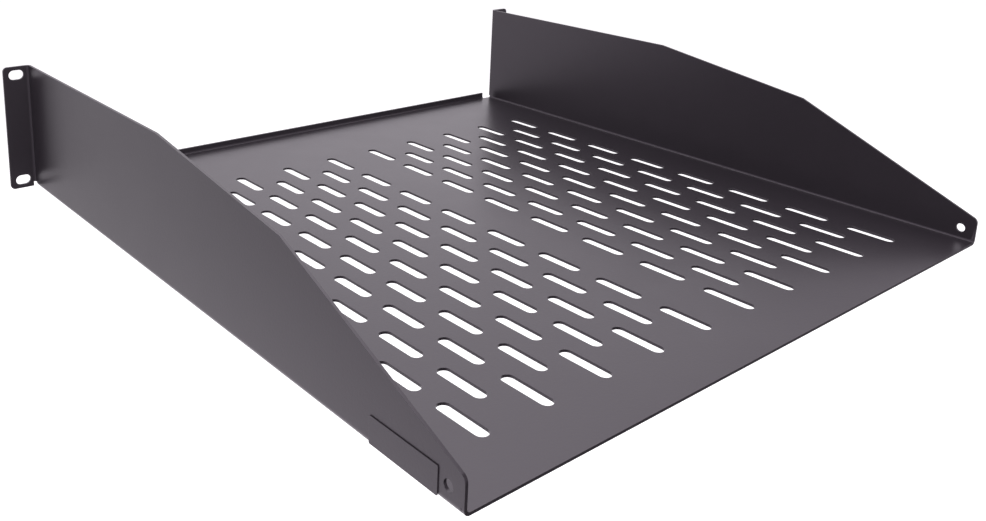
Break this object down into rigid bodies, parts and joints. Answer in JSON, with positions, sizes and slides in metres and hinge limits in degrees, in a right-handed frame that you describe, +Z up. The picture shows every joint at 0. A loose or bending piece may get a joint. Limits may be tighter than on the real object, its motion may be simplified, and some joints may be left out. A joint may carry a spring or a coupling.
{
  "type": "cantilever rack shelf",
  "caption": "Shallow folded steel tray with stepped side walls, slotted front ears and staggered vent slots, held in a 19 inch rack by its front ears.",
  "frame": {"origin": "middle of the four mounting slots, in the front face of the ears, halfway up the shelf", "axes": "+X across the shelf towards the wall with the blank plate, +Y from the ears to the rear edge, +Z up"},
  "size_m": [0.4826, 0.4572, 0.0882],
  "materials": {
    "shelf": "satin black powder coat on cold-rolled steel sheet",
    "badge_plate": "satin black, blank"
  },
  "bodies": {
    "root": {"shelf": "shelf", "badge_plate": "badge_plate"}
  },
  "joints": []
}
